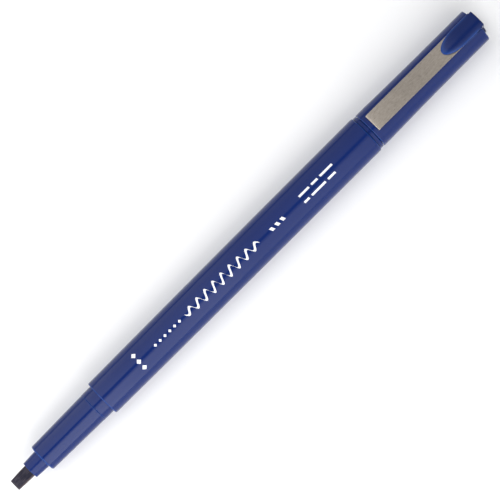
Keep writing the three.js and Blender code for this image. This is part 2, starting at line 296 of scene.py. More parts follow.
# %% Sockets that can be added and multiplied
class Value:
    """A socket of a node tree that can be used as a number in an expression."""

    def __init__(self, nodes, socket):
        self.nodes = nodes
        self.socket = socket

    def math(self, operation, *others):
        terms = dict(enumerate([self, *others]))
        return self.nodes.add("ShaderNodeMath", {"operation": operation}, terms)

    def __add__(self, other):
        return self.math("ADD", other)

    def __sub__(self, other):
        return self.math("SUBTRACT", other)

    def __rsub__(self, other):
        return self.nodes.add("ShaderNodeMath", {"operation": "SUBTRACT"}, {0: other, 1: self})

    def __mul__(self, other):
        return self.math("MULTIPLY", other)

    __radd__ = __add__
    __rmul__ = __mul__

    def above(self, edge, soft):
        """0 well under the edge and 1 well over it, with a soft step between."""
        settings = {"interpolation_type": "SMOOTHSTEP"}
        inputs = {"Value": self, "From Min": edge - soft, "From Max": edge + soft}
        return self.nodes.add("ShaderNodeMapRange", settings, inputs)


class Nodes:
    """A new material and the one method that adds its nodes."""

    def __init__(self, name):
        self.material = bpy.data.materials.new(name)
        self.material.use_nodes = True
        self.tree = self.material.node_tree
        self.shader = self.tree.nodes["Principled BSDF"]
        self.place = self.add("ShaderNodeTexCoord", output="Object")

    def add(self, kind, settings=None, inputs=None, output=0):
        node = self.tree.nodes.new(kind)
        for key, value in (settings or {}).items():
            setattr(node, key, value)
        for key, value in (inputs or {}).items():
            self.feed(node.inputs[key], value)
        return Value(self, node.outputs[output])

    def feed(self, socket, value):
        if isinstance(value, Value):
            self.tree.links.new(value.socket, socket)
        else:
            socket.default_value = value

    def edges(self, bend):
        """1 where the surface bends outward tighter than this many 1/mm, soft below it."""
        stored = self.add("ShaderNodeAttribute", {"attribute_name": "edge_bend"}, output="Fac")
        return stored.above(0.7 * bend, 0.3 * bend)

    def along(self, start, end):
        """0 at one station and 1 at another."""
        x = self.add("ShaderNodeSeparateXYZ", None, {0: self.place}, "X")
        span = {"From Min": TIP_X + start * MM, "From Max": TIP_X + end * MM}
        return self.add("ShaderNodeMapRange", None, {"Value": x, **span})

    def sideways(self, half_width):
        """0 on the marker's middle plane and 1 at this many millimetres beside it."""
        y = self.add("ShaderNodeSeparateXYZ", None, {0: self.place}, "Y")
        return y.math("ABSOLUTE") * (1 / (half_width * MM))

    def noise(self, scale, detail=3.0, stretch=(1, 1, 1), roughness=0.5):
        """Noise with about `scale` blobs per millimetre, drawn out where stretch is small."""
        place = self.add("ShaderNodeVectorMath", {"operation": "MULTIPLY"},
                         {0: self.place, 1: [1000 * scale * s for s in stretch]}, "Vector")
        inputs = {"Vector": place, "Scale": 1.0, "Detail": detail, "Roughness": roughness}
        return self.add("ShaderNodeTexNoise", None, inputs, "Fac")

    def mix(self, share, first, second):
        """A colour between two colours."""
        settings = {"data_type": "RGBA"}
        return self.add("ShaderNodeMix", settings, {0: share, 6: first, 7: second}, 2)

    def bump(self, height, depth, before=None):
        """A bump with its depth in millimetres."""
        inputs = {"Height": height, "Strength": 1.0, "Distance": depth * MM}
        if before is not None:
            inputs["Normal"] = before
        return self.add("ShaderNodeBump", None, inputs, "Normal")

    def finish(self, **inputs):
        for name, value in inputs.items():
            self.feed(self.shader.inputs[name.replace("_", " ")], value)
        return self.material


def rgb(red, green, blue):
    return (red, green, blue, 1.0)


# %% [markdown]
# ## Moulded plastic
#
# The body is glossy moulded polypropylene. It is never perfectly even: the melt leaves
# faint flow marks, the mould's polish leaves a slight orange peel, and handling adds hair
# scratches along the marker. Each is a noise at its real size, and all stay faint. Light
# passes through the thin plastic at an edge, and that glow is painted: edges are drawn in a
# brighter blue, a painted highlight. Subsurface scattering would do that too, but far more
# slowly. The tongue on the cap has a painted glow over a wider rim than an edge has, so its
# rim is worked out from the ellipse of its tip.

# %% Moulded plastic material
EDGE_BEND = 2.2                    # an edge that bends tighter than this, in 1/mm, gets the painted highlight
PAINTED_EDGE_GLOW_SHARE = 0.55
PAINTED_RIM_GLOW_SHARE = 0.7
RIM_FADE_START = 2.5               # the painted rim glow fades out between these two places before the
RIM_FADE_END = 1.0                 # crown's end
TONGUE_TIP_LENGTH = 6.2
TONGUE_HALF_WIDTH = 2.65


def painted_tongue_rim_glow(nodes):
    """Painted glow on the tongue's rim: 1 where (forward share)^2 + (side share)^2 nears 1, an
    ellipse, and 0 at the root.
    """
    side = nodes.sideways(TONGUE_HALF_WIDTH)
    forward = 1 - nodes.along(TONGUE_TIP, TONGUE_TIP + TONGUE_TIP_LENGTH)
    rim = (forward * forward + side * side).above(0.72, 0.28)
    return rim * (1 - nodes.along(CROWN_END - RIM_FADE_START, CROWN_END - RIM_FADE_END))


def moulded_plastic(name, deep, light, edge, roughness, scratch=0.08, ior=1.30, has_tongue=False):
    nodes = Nodes(name)
    flow = nodes.noise(0.09, detail=2, stretch=(0.35, 1, 1))
    peel = nodes.noise(1.3, detail=2)
    grain = nodes.noise(14, detail=2)
    hair = nodes.noise(7, detail=3, stretch=(0.02, 1, 1)).above(0.64, 0.03)
    skin = nodes.bump(peel, 0.0016)
    skin = nodes.bump(grain + hair * 0.6, 0.0002, skin)
    # painted highlight: edges, and on the crown the tongue's rim, are drawn in the brighter edge
    # colour
    painted_glow = PAINTED_RIM_GLOW_SHARE * painted_tongue_rim_glow(nodes) if has_tongue else PAINTED_EDGE_GLOW_SHARE * nodes.edges(EDGE_BEND)
    return nodes.finish(
        Base_Color=nodes.mix(painted_glow, nodes.mix(flow, deep, light), edge),
        Roughness=roughness + 0.05 * (grain - 0.5) + 0.06 * (flow - 0.5) + scratch * hair,
        IOR=ior,
        Normal=skin,
    )


# painted highlight: the brighter blue that edges and the tongue's rim are drawn in
painted_edge_glow_blue = rgb(0.012, 0.052, 0.230)
body_plastic = moulded_plastic(
    "body_plastic", rgb(0.003, 0.015, 0.104), rgb(0.004, 0.018, 0.124), painted_edge_glow_blue, 0.10)
crown_plastic = moulded_plastic(
    "crown_plastic", rgb(0.003, 0.013, 0.085), rgb(0.004, 0.016, 0.100), painted_edge_glow_blue, 0.20,
    ior=1.26, has_tongue=True)
# the liner's third colour is the painted highlight on its edges
liner_plastic = moulded_plastic(
    "liner_plastic", rgb(0.74, 0.74, 0.70), rgb(0.82, 0.82, 0.79), rgb(0.86, 0.86, 0.83), 0.42,
    scratch=0.03)
print("plastics:", body_plastic.name, crown_plastic.name, liner_plastic.name)

# %% [markdown]
# ## Pressed fibre, brushed steel, printed ink and film
#
# Fibre is matt, with streaks along its length where the ink has settled unevenly. The clip
# is steel brushed lengthwise: the brushing is far finer than the strip, so it shows as
# streaks in the gloss. The printed ink is a thin opaque white with small pinholes, and the
# film is clear with soft creases. Scans of real surfaces would do too, but a noise keeps its
# real size on every piece and shows no seam.

# %% The other materials
NIB_PALE_LENGTH = 0.8
NIB_PALE_SIDE = 0.84               # paler from this share of its half width outward


def fibre(name, dry, soaked, streak_depth, pale_tone=None):
    """Streaky fibre, soaked with ink. A nib is also paler at its tip and its sides."""
    nodes = Nodes(name)
    strands = nodes.noise(5.5, detail=4, stretch=(0.07, 1, 1), roughness=0.65)
    patches = nodes.noise(0.8, detail=3, stretch=(0.5, 1, 1))
    fuzz = nodes.noise(18, detail=2)
    ink = (0.65 * strands + 0.5 * patches).above(0.56, 0.16)
    if pale_tone:
        ink = ink * nodes.along(0, NIB_PALE_LENGTH)
    colour = nodes.mix(ink, dry, soaked)
    if pale_tone:
        side = nodes.sideways(NIB_ROOT_WIDTH / 2).above(NIB_PALE_SIDE, 0.12)
        colour = nodes.mix(0.7 * side, colour, pale_tone)
    felt = nodes.bump(strands, streak_depth)
    return nodes.finish(
        Base_Color=colour,
        Roughness=0.78 + 0.2 * (fuzz - 0.5),
        IOR=1.35,
        Normal=nodes.bump(fuzz, 0.006, felt),
    )


def brushed_steel(name):
    nodes = Nodes(name)
    brushing = nodes.noise(9, detail=4, stretch=(0.05, 1, 1), roughness=0.7)
    mottle = nodes.noise(2.0, detail=4, stretch=(0.6, 1, 1), roughness=0.65)
    shade = 0.6 * brushing + 0.4 * mottle
    streaks = shade.above(0.5, 0.22)
    return nodes.finish(
        Base_Color=nodes.mix(streaks, rgb(0.25, 0.222, 0.192), rgb(0.40, 0.355, 0.308)),
        Metallic=1.0,
        Roughness=0.33 + 0.25 * (brushing - 0.5) + 0.15 * (mottle - 0.5),
        Normal=nodes.bump(brushing, 0.0015),
    )


def printed_ink(name):
    nodes = Nodes(name)
    grain = nodes.noise(16, detail=3)
    pinholes = nodes.noise(9, detail=1).above(0.73, 0.02)
    return nodes.finish(
        Base_Color=nodes.mix(pinholes * 0.5, rgb(0.86, 0.87, 0.90), rgb(0.30, 0.34, 0.50)),
        Roughness=0.42 + 0.15 * (grain - 0.5),
        Normal=nodes.bump(grain, 0.002),
    )


def clear_film(name):
    nodes = Nodes(name)
    creases = nodes.noise(0.5, detail=3, stretch=(0.3, 1, 1))
    return nodes.finish(
        Base_Color=nodes.mix(creases, rgb(0.80, 0.82, 0.86), rgb(0.90, 0.91, 0.94)),
        Roughness=0.12 + 0.1 * creases,
        Alpha=0.35 + 0.2 * creases,
        Normal=nodes.bump(creases, 0.02),
    )


nib_fibre = fibre("nib_fibre", rgb(0.042, 0.036, 0.048), rgb(0.007, 0.007, 0.020), 0.02,
                  pale_tone=rgb(0.090, 0.066, 0.062))
reservoir_fibre = fibre("reservoir_fibre", rgb(0.03, 0.05, 0.22), rgb(0.008, 0.014, 0.10), 0.04)
clip_steel = brushed_steel("clip_steel")
white_ink = printed_ink("white_ink")
reservoir_film = clear_film("reservoir_film")
print("materials:", sorted(material.name for material in bpy.data.materials))

# %% [markdown]
# ## What each piece has to state
#
# A finished piece gets its material and rides on one body of the frame, so that it moves with
# that body's joints, and names the CAD nodes that it stands for, which are then hidden. Parents
# and collections could say most of this by hand, but one function says it the same way for
# every piece.

# %% Add a piece
def add_piece(name, surfaces, material, body, slot, *nodes, sharp=40):
    """A piece from its surfaces, shaded flat only over edges sharper than this angle."""
    piece = make_object(name, surfaces, sharp)
    piece.data.materials.append(material)
    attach(piece, body)
    if nodes:
        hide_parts(*nodes)


# %% [markdown]
# ## The barrel
#
# A long moulding with a slimmer neck in front. Its radius grows quickly behind the shoulder
# and levels off toward the rear, so it is a parabola that is flat at the rear end. The
# shoulder and the rear edge are only lightly rounded: they catch the light as fine lines.

# %% Barrel
NECK_LENGTH = 3.0
BARREL_SWELL = 0.33
BARREL_WALL = 0.92
NECK_WALL = 0.75
BORE_FLOOR = 1.5                   # the wide bore begins this far behind the shoulder

SHOULDER = NECK_FRONT + NECK_LENGTH
NECK_RADIUS = round_radius("front_section")
REAR_RADIUS = round_radius("barrel")
SHOULDER_RADIUS = REAR_RADIUS - BARREL_SWELL
BARREL_BORE = SHOULDER_RADIUS - BARREL_WALL
NECK_BORE = NECK_RADIUS - NECK_WALL


def barrel_radius(station):
    """Shoulder radius plus the swell times share x (2 - share), share from shoulder to rear."""
    share = (station - SHOULDER) / (BARREL_REAR - SHOULDER)
    return SHOULDER_RADIUS + BARREL_SWELL * share * (2 - share)


def barrel_surface():
    behind_shoulder, before_rear = SHOULDER + 1, BARREL_REAR - 1.2
    stations = np.linspace(behind_shoulder, before_rear, 40)
    inner_wall = SHOULDER + BORE_FLOOR
    outline = [
        (NECK_FRONT, NECK_BORE, 0.06),
        (NECK_FRONT, NECK_RADIUS, 0.09),
        (SHOULDER, NECK_RADIUS, 0.06),
        (SHOULDER, SHOULDER_RADIUS, 0.26),
        *zip(stations, barrel_radius(stations)),
        (BARREL_REAR, REAR_RADIUS, 0.42),
        (BARREL_REAR, BARREL_BORE, 0.1),
        (inner_wall, BARREL_BORE),
        (inner_wall, NECK_BORE),
    ]
    return turned(soften(outline, closed=True))


add_piece("barrel_moulding", [barrel_surface()], body_plastic, "pen", "body_plastic", "barrel")

# %% [markdown]
# ## The front section
#
# This is where the fingers and the cap sit. It tapers slightly to the front, and a fine
# proud ring marks its joint with the barrel. The rounds on both sides of the joint make the
# shallow groove that reads as a dark line.

# %% Front section
SEAT_TAPER = 0.33
RING_LENGTH = 0.34
RING_STEP = 0.05                   # the ring stands this proud of the seat
SEAT_WALL = 0.8
COLLAR_STEP = 0.27                 # the collar over the holder's stem
STEM_RADIUS = round_radius("nib_holder") - COLLAR_STEP
GAP = 0.05                         # between pieces that are pushed together


def front_section_surface():
    rear = NECK_FRONT - GAP
    ring = rear - RING_LENGTH
    seat_front = NECK_RADIUS - SEAT_TAPER
    seat_rear = NECK_RADIUS - RING_STEP
    insert = NECK_BORE - GAP
    stem_bore = STEM_RADIUS + GAP
    wide_bore = insert - SEAT_WALL
    outline = [
        (SEAT_FRONT, stem_bore, 0.08),
        (SEAT_FRONT, seat_front, 0.4),
        *curve(lambda share: seat_front + (seat_rear - seat_front) * share,
               SEAT_FRONT + 1.2, ring - 0.3, 12),
        (ring, seat_rear, 0.05),
        (ring + 0.06, NECK_RADIUS, 0.05),
        (rear, NECK_RADIUS, 0.09),
        (rear, insert, 0.04),
        (INSERT_END, insert, 0.3),
        (INSERT_END, wide_bore, 0.2),
        (STEM_END + GAP, wide_bore),
        (STEM_END + GAP, stem_bore),
    ]
    return turned(soften(outline, closed=True))


add_piece("front_section_moulding", [front_section_surface()],
          body_plastic, "pen", "body_plastic", "front_section")

# %% [markdown]
# ## The nib and its holder
#
# The holder is round outside and has a flat slot inside, so its rings change from circles
# to rounded rectangles. Both are one formula, a superellipse, whose radius at an angle is
# ((|sin| / width)^n + (|cos| / height)^n)^(-1/n). The nib is a slab of the same section,
# pressed from fibre and bevelled on both broad faces. Its edges are a little ragged.

# %% Nib and holder
NIB_THICKNESS = 1.8
NIB_TIP_WIDTH = 3.2
NIB_BEVEL = 2.4
NIB_EDGE = 0.7
NIB_TAIL_HALF_WIDTH = 1.45
NIB_RAGGED = 0.012
SQUARENESS = 9


def superellipse(angle, half_wide, half_high, power=SQUARENESS):
    """Radius of a rounded rectangle at an angle, by the formula above."""
    return ((np.abs(np.sin(angle)) / half_wide) ** power
            + (np.abs(np.cos(angle)) / half_high) ** power) ** (-1 / power)


def holder_surface():
    """Rings are circles on the outside and the slot's rounded rectangles on the inside."""
    front, rear = COLLAR_FRONT, SEAT_FRONT - GAP
    collar_rear = STEM_RADIUS + COLLAR_STEP
    collar_front = STEM_RADIUS + 0.06
    outside = soften([
        (STEM_END, STEM_RADIUS - 0.15),
        (STEM_END, STEM_RADIUS, 0.2),
        (rear, STEM_RADIUS, 0.03),
        (rear, collar_rear, 0.1),
        (front, collar_front, 0.22),
        (front, collar_front - 0.2),
    ], steps=6)
    half_wide, half_high = NIB_ROOT_WIDTH / 2 + GAP, NIB_THICKNESS / 2 + GAP
    slot = np.array([(front, 0.14), (front, 0.05), (front + 0.05, 0), (STEM_END, 0), (STEM_END, 0.05)])
    angle = full_turn(192)
    circles = outside[:, 1:2] + 0 * angle
    slots = superellipse(angle, half_wide, half_high) + slot[:, 1:2]
    station = np.concatenate([outside[:, :1], slot[:, :1]])
    return grid_surface(on_axis(station, np.vstack([circles, slots]), angle), close_rows=True)


def nib_surface():
    """A slab: superellipse rings whose half width and half height change with the station."""
    tail_start, rear = STEM_END, NIB_TAIL_END
    tip_half, edge_half = NIB_TIP_WIDTH / 2, NIB_EDGE / 2
    plan = np.array([
        (0.0, tip_half - 0.10),
        (0.05, tip_half - 0.03),
        (0.15, tip_half),
        (COLLAR_FRONT, NIB_ROOT_WIDTH / 2),
        (tail_start, NIB_ROOT_WIDTH / 2),
        (tail_start + 2, NIB_TAIL_HALF_WIDTH),
        (rear - 0.2, NIB_TAIL_HALF_WIDTH),
        (rear, NIB_TAIL_HALF_WIDTH - 0.15),
    ])
    side = np.array([
        (0.0, edge_half - 0.08),
        (0.05, edge_half - 0.02),
        (0.15, edge_half + 0.03),
        (NIB_BEVEL, NIB_THICKNESS / 2),
        (rear - 2, NIB_THICKNESS / 2),
        (rear, edge_half),
    ])
    stations = np.concatenate([
        [0, 0.02, 0.05, 0.1, 0.15],
        np.linspace(0.25, COLLAR_FRONT + 0.4, 70),
        np.linspace(COLLAR_FRONT + 1, rear - 0.2, 30),
        [rear],
    ])[:, None]
    angle = full_turn(160)
    half_wide = np.interp(stations, *plan.T)
    half_high = np.interp(stations, *side.T)
    radius = superellipse(angle, half_wide, half_high, 7)
    coarse = np.sin(23 * angle + 3 * stations) * np.sin(9 * stations + 17 * angle)
    fine = np.sin(41 * angle - 2 * stations)
    radius = radius - NIB_RAGGED * np.abs(coarse + fine) * np.clip(stations / 0.1, 0, 1)
    stations = np.concatenate([stations[:1], stations, stations[-1:]])
    poles = np.zeros_like(radius[:1])
    return grid_surface(on_axis(stations, np.vstack([poles, radius, poles]), angle))


add_piece("nib_collar", [holder_surface()], body_plastic, "pen", "holder_plastic", "nib_holder")
add_piece("chisel_nib", [nib_surface()], nib_fibre, "pen", "nib_fibre", "nib")

# %% [markdown]
# ## Inside the barrel
#
# The ink sits in a bundle of fibres wrapped in film. They are sealed in, but they are real
# pieces, so both get their own surface and finish. The plug behind them is a hollow
# moulding: its flange shows as a thin ring, and its post, with six low ribs that grip the
# cap, shows when the cap is pulled off.

# %% Reservoir and tail plug
RESERVOIR_FRONT, RESERVOIR_REAR = station_span("reservoir_film")
FILM_RADIUS = round_radius("reservoir_film")
CORE_RADIUS = round_radius("reservoir_core")
FLANGE_RADIUS = round_radius("tail_plug")
POST_RIBS = 6
POST_RIB_HEIGHT = 0.05
PLUG_WALL = 0.95
FILM_WALL = 0.12
LIP_GROOVE = 0.20                  # in front of the cap's lip


def core_surface():
    """A bundle with a flat hole for the nib's tail: circles outside, superellipses inside."""
    angle = full_turn(128)
    outside = soften([
        (RESERVOIR_REAR, 0),
        (RESERVOIR_REAR, CORE_RADIUS, 0.2),
        (RESERVOIR_FRONT, CORE_RADIUS, 0.2),
        (RESERVOIR_FRONT, CORE_RADIUS - 1),
    ])
    hole_end = NIB_TAIL_END + GAP
    hole = superellipse(angle, NIB_TAIL_HALF_WIDTH + GAP, NIB_THICKNESS / 2 + GAP)
    circles = outside[:, 1:2] + 0 * angle
    radius = np.vstack([circles, hole, hole, 0 * hole])
    station = np.concatenate([outside[:, :1], [[RESERVOIR_FRONT], [hole_end], [hole_end]]])
    return grid_surface(on_axis(station, radius, angle))


def film_surface():
    inner = FILM_RADIUS - FILM_WALL
    outline = [
        (RESERVOIR_FRONT, inner),
        (RESERVOIR_FRONT, FILM_RADIUS),
        (RESERVOIR_REAR, FILM_RADIUS),
        (RESERVOIR_REAR, inner),
    ]
    return turned(np.array(outline))


def rib_height(angle, count, width):
    """1 on each of `count` ribs and 0 between: a steep logistic step at half the width."""
    turn = 2 * math.pi / count
    off_rib = np.abs((angle + turn / 2) % turn - turn / 2)
    return 1 / (1 + np.exp((off_rib - width / 2) * 60))


def tail_plug_surface():
    front, flange_rear = BARREL_REAR + GAP, LIP - LIP_GROOVE
    plug, post = BARREL_BORE - GAP, NECK_RADIUS
    hollow = plug - PLUG_WALL
    floor = POST_END - PLUG_WALL

    def post_ribs(station, radius, angle):
        on_post = (station > flange_rear + 0.5) & (station < POST_END - 1.5) & (radius > post - 0.1)
        between_ribs = radius - POST_RIB_HEIGHT * (1 - rib_height(angle, POST_RIBS, 0.16))
        return np.where(on_post, between_ribs, radius)

    outline = [
        (floor, 0),
        (floor, hollow, 0.4),
        (PLUG_FRONT, hollow, 0.2),
        (PLUG_FRONT, plug, 0.3),
        (front, plug, 0.05),
        (front, FLANGE_RADIUS, 0.03),
        (flange_rear, FLANGE_RADIUS, 0.05),
        (flange_rear, post, 0.1),
        *[(station, post) for station in np.linspace(flange_rear + 0.6, POST_END - 1.6, 12)],
        (POST_END, post, 0.8),
        (POST_END, 0),
    ]
    return turned(soften(outline), closed=False, around=180, shape=post_ribs)


add_piece("ink_reservoir", [core_surface()],
          reservoir_fibre, "pen", "reservoir_fibre", "reservoir_core")
add_piece("reservoir_wrap", [film_surface()],
          reservoir_film, "pen", "reservoir_film", "reservoir_film")
add_piece("tail_plug_moulding", [tail_plug_surface()],
          body_plastic, "pen", "body_plastic", "tail_plug")

# %% [markdown]
# ## The cap and its liner
#
# The cap has a straight band at its lip and then slims down in a curve that is steep at
# first and flat at the end, a square law. A small pocket near its end takes the clip's hook.
# It is made by lowering the ring's radius to a flat floor, floor / cos(angle), over the
# pocket's width, which keeps the cap one surface. Eight low ribs inside hold the post.

# %% Cap shell and inner cap
CAP_ROOM = 0.1
CAP_END_WALL = 0.61
CAP_BORE = NECK_RADIUS + CAP_ROOM
CAP_MOUTH_RADIUS = round_radius("cap_shell")
CAP_END_RADIUS = CAP_BORE + CAP_END_WALL
LIP_BAND = 3.2
CAP_TAPER_SHARE = 0.78
CAP_FLOOR = 2.4                    # thickness of the cap's end wall
CAP_RIBS = 8
CAP_RIB_HEIGHT = 0.04
LINER_ROOM = 0.38                  # round the collar, in the liner
LINER_FLOOR = 0.8
CROWN_STEM_RADIUS = 1.4
CLIP_THICKNESS = 0.4
CLIP_HALF_WIDTH = half_width("clip")
HOOK_STATION = CLIP_REAR - CLIP_THICKNESS / 2
HOOK_DEPTH = 0.9
HOOK_HALF_WIDTH = 2.0
POCKET_ROOM = 0.4
POCKET_SIDE = 0.4


def cap_taper(share):
    """End radius plus (mouth radius - end radius) x (1 - share)^2."""
    return CAP_END_RADIUS + (CAP_MOUTH_RADIUS - CAP_END_RADIUS) * (1 - share) ** 2


def cap_surface():
    taper_front = LIP + LIP_BAND
    taper_rear = taper_front + (CAP_END - taper_front) * CAP_TAPER_SHARE
    inside = CAP_END - CAP_FLOOR
    stem_hole = CROWN_STEM_RADIUS + GAP
    half = CLIP_THICKNESS / 2 + POCKET_ROOM
    floor = CAP_END_RADIUS - HOOK_DEPTH - POCKET_ROOM
    pocket_edges = HOOK_STATION + np.array([-half - 0.02, -half, half, half + 0.02])

    def pocket_and_ribs(station, radius, angle):
        outside = radius > CAP_BORE + 0.3
        in_pocket = (np.abs(station - HOOK_STATION) < half + 0.01) & outside & (np.cos(angle) > 0)
        in_pocket = in_pocket & (np.abs(radius * np.sin(angle)) < HOOK_HALF_WIDTH + POCKET_SIDE)
        lowered = np.minimum(radius, floor / np.maximum(np.cos(angle), 0.5))
        in_bore = (np.abs(radius - CAP_BORE) < 0.01) & (station > LIP + 1.5)
        ribbed = radius - CAP_RIB_HEIGHT * rib_height(angle, CAP_RIBS, 0.12)
        return np.where(in_pocket, lowered, np.where(in_bore, ribbed, radius))

    outline = [
        (LIP, CAP_BORE + 0.25, 0.1),
        (LIP, CAP_MOUTH_RADIUS, 0.16),
        (taper_front - 0.4, CAP_MOUTH_RADIUS),
        *curve(cap_taper, taper_front, taper_rear, 32),
        *[(station, CAP_END_RADIUS) for station in pocket_edges],
        (CAP_END, CAP_END_RADIUS, 0.25),
        (CAP_END, stem_hole, 0.05),
        (inside, stem_hole, 0.05),
        (inside, CAP_BORE, 0.3),
        (LIP + 2, CAP_BORE),
        (LIP + 1.6, CAP_BORE),
        (LIP + 0.3, CAP_BORE, 0.1),
    ]
    return turned(soften(outline, closed=True), around=180, shape=pocket_and_ribs)


def liner_surface():
    floor = LINER_END - LINER_FLOOR
    bore = STEM_RADIUS + COLLAR_STEP + LINER_ROOM
    outer = round_radius("inner_cap")
    outline = [
        (floor, 0),
        (floor, bore, 0.8),
        (LINER_MOUTH, bore, 0.2),
        (LINER_MOUTH, outer, 0.3),
        (LINER_END, outer, 0.4),
        (LINER_END, 0),
    ]
    return turned(soften(outline, steps=8), closed=False)


add_piece("cap_moulding", [cap_surface()], body_plastic, "cap", "body_plastic", "cap_shell")
add_piece("cap_liner", [liner_surface()], liner_plastic, "liner", "liner_plastic", "inner_cap")

# %% [markdown]
# ## The crown and its tongue
#
# The crown is a disc on the cap's end with an arm that carries a tongue over the clip's
# root. Disc and arm are one keyhole outline, a radius for each angle. The tongue has an
# elliptical tip. Its top is a low wall plus an arch of the same bend everywhere, crown x
# (tip share^2 - (y / half width)^2), with a round along the edge. Its grid runs from the
# edge of the plan inwards to the middle line, so that the edge is followed exactly.

# %% Crown
DISC_RADIUS = 3.17
ARM_HALF_WIDTH = 2.435
TONGUE_TOP = top_height("crown")
TONGUE_CROWN = 0.65
TONGUE_EDGE = 0.5
TONGUE_TIP_RISE = 0.35
TONGUE_BOTTOM = TONGUE_TOP - TONGUE_CROWN - TONGUE_EDGE
TONGUE_END_ROUND = 0.3
TONGUE_FILLET = 0.26


def tip_share(station):
    """0 at the tongue's tip and 1 behind its elliptical end, along an ellipse."""
    along = np.clip((station - TONGUE_TIP) / TONGUE_TIP_LENGTH, 0, 1)
    return np.sqrt(1 - (1 - along) ** 2)


def rounded_off(distance, size):
    """How far a round of a size lies under its corner, at a distance in from the edge."""
    inside = np.clip(1 - distance / size, 0, 1)
    return size * (1 - np.sqrt(1 - inside ** 2))


def tongue_height(station, side, from_edge):
    """Height of the tongue's top over the axis: wall + arch, less the rounds at its edges."""
    share = tip_share(station)
    wall = TONGUE_TIP_RISE + (TONGUE_EDGE - TONGUE_TIP_RISE) * share
    arch = TONGUE_CROWN * (share ** 2 - (side / TONGUE_HALF_WIDTH) ** 2)
    edge_round = rounded_off(from_edge, TONGUE_FILLET)
    end_round = rounded_off(CROWN_END - station, TONGUE_END_ROUND)
    return TONGUE_BOTTOM + wall + np.maximum(arch, 0) - np.maximum(edge_round, end_round)


def tongue_surface():
    """Rows run from the middle line below, out round the plan's edge and back over the top."""
    turn = np.linspace(0, math.pi / 2, 40)
    ellipse = np.stack([TONGUE_TIP + TONGUE_TIP_LENGTH * (1 - np.cos(turn)),
                        TONGUE_HALF_WIDTH * np.sin(turn)], 1)
    step = CAP_END + GAP
    rear = soften([
        (ellipse[-1, 0], TONGUE_HALF_WIDTH),
        *[(station, TONGUE_HALF_WIDTH)
          for station in np.linspace(ellipse[-1, 0] + 0.4, step - 0.3, 12)],
        (step, TONGUE_HALF_WIDTH, 0.08),
        (step + 0.02, ARM_HALF_WIDTH, 0.05),
        (CROWN_END, ARM_HALF_WIDTH, 0.2),
        (CROWN_END, ARM_HALF_WIDTH / 2),
        (CROWN_END, 0),
    ])[1:]
    half = np.vstack([ellipse, rear])
    plan = np.vstack([half, (half * [1, -1])[-2:0:-1]])
    middle = np.clip(plan[:, 0], TONGUE_TIP + 1.6, CROWN_END - 1.2)

    def ring(inward):
        station = plan[:, 0] + (middle - plan[:, 0]) * inward
        side = plan[:, 1] * (1 - inward)
        return station, side, np.hypot(station - plan[:, 0], side - plan[:, 1])

    rows = []
    for inward in np.linspace(1, 0, 4):
        station, side, _ = ring(inward)
        rows.append((station, side, np.full_like(station, TONGUE_BOTTOM)))
    for turned_in in np.linspace(0, math.pi / 2, 26):
        station, side, from_edge = ring(1 - math.cos(turned_in))
        rows.append((station, side, tongue_height(station, side, from_edge)))
    station, side, height = np.array(rows).transpose(1, 0, 2)
    return grid_surface(in_frame(station, side, height))


def keyhole(angle):
    """Radius of the disc, or of the straight-sided arm where that reaches further."""
    side = ARM_HALF_WIDTH / np.maximum(np.abs(np.sin(angle)), 1e-6)
    top = (TONGUE_BOTTOM + 0.3) / np.maximum(np.cos(angle), 1e-6)
    arm = np.where(np.cos(angle) > 0, np.minimum(side, top), 0)
    return np.maximum(DISC_RADIUS, arm)


def crown_plate_surface():
    front, rear = CAP_END + GAP, CROWN_END - 0.02
    stem_front = CAP_END - CAP_FLOOR

    def arm(station, radius, angle):
        return np.where(radius > DISC_RADIUS - 0.5, keyhole(angle) - (DISC_RADIUS - radius), radius)

    outline = [
        (stem_front, 0),
        (stem_front, CROWN_STEM_RADIUS, 0.2),
        (front, CROWN_STEM_RADIUS, 0.05),
        (front, DISC_RADIUS, 0.06),
        (rear, DISC_RADIUS, 0.16),
        (rear, 1.2),
        (rear, 0),
    ]
    return turned(soften(outline), closed=False, around=256, shape=arm)


add_piece("crown_and_tongue", [tongue_surface(), crown_plate_surface()],
          crown_plastic, "cap", "crown_plastic", "crown")

# %% [markdown]
# ## The clip
#
# A strip of spring steel, swept along its own middle line: up out of the bent-down free end,
# over a shallow bow, straight under the tongue and down into the cap as a hook. A curve
# object with a bevel would do, but a sweep in numpy gives exact square-cut edges with a fine
# round, and lets the strip's corners be rounded in plan at the free end.

# %% Clip
CLIP_RISE = 0.45
CLIP_STRAIGHT = 1.0
HOOK_BEND = 0.4
CLIP_BEND = 0.34                   # at its free end
CLIP_OFF_CAP = 0.12                # the free end's edge stands this far off the cap
CLIP_CORNER = 0.3
CLIP_EDGE_ROUND = 0.07


def quarter_bend(centre, size, along_share, up_share):
    """Points [station, height] of a quarter of a circle: centre + size x (share, share)."""
    return np.array([centre]) + size * np.stack([along_share, up_share], 1)


